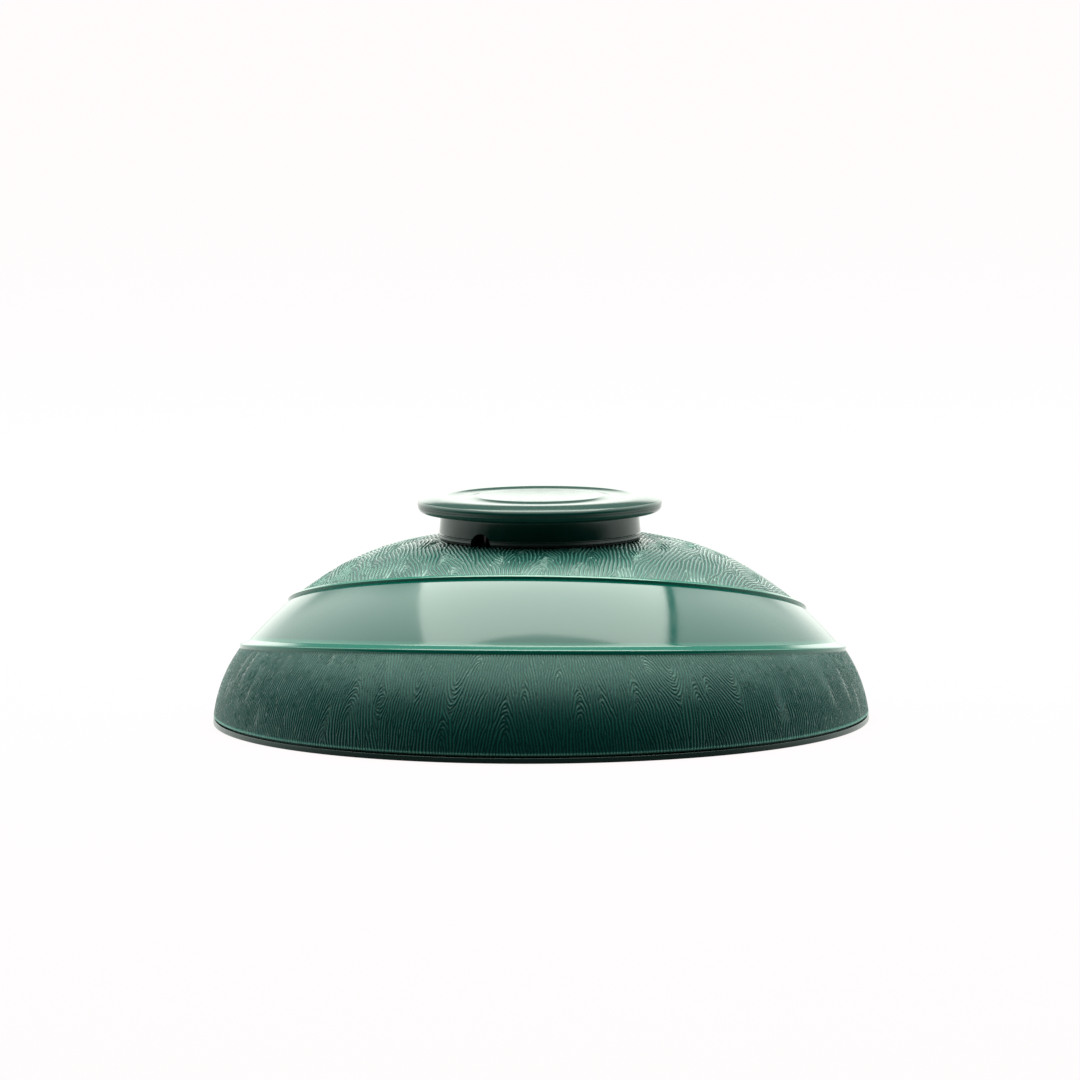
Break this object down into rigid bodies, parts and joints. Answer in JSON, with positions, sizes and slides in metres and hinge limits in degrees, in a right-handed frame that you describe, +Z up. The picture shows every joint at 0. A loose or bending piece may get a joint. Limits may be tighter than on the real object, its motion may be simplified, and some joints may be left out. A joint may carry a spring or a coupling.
{
  "type": "insulated plate cover",
  "caption": "Round domed plate cover with a mushroom-shaped knob, a glossy slanted band, wood-grain textured top and skirt, and a hollow insulated wall.",
  "frame": {"origin": "centre of the circle that the rim stands on, on the bottom face of the rim", "axes": "+Z up through the knob; -Y towards the high side of the slanted band; +X to the right of the front view"},
  "size_m": [0.2544, 0.2544, 0.0875],
  "materials": {
    "shell": "hunter green moulded plastic, glossy band, wood-grain relief on top and skirt",
    "liner": "smooth hunter green moulded plastic",
    "knob": "satin to gloss hunter green moulded plastic",
    "foam": "rigid closed-cell foam",
    "weld": "black weld bead",
    "seal": "black soft rubber",
    "steel": "plain stainless",
    "plug": "matt green plastic"
  },
  "bodies": {
    "root": {"outer_shell": "shell", "inner_liner": "liner", "foam_core": "foam", "rim_weld": "weld", "knob_base": "knob", "knob_cap": "knob", "knob_gasket": "seal", "knob_screws": "steel", "screw_seals": "seal", "fill_plug": "plug", "plug_seal": "seal", "vent_plugs": "plug"}
  },
  "joints": []
}
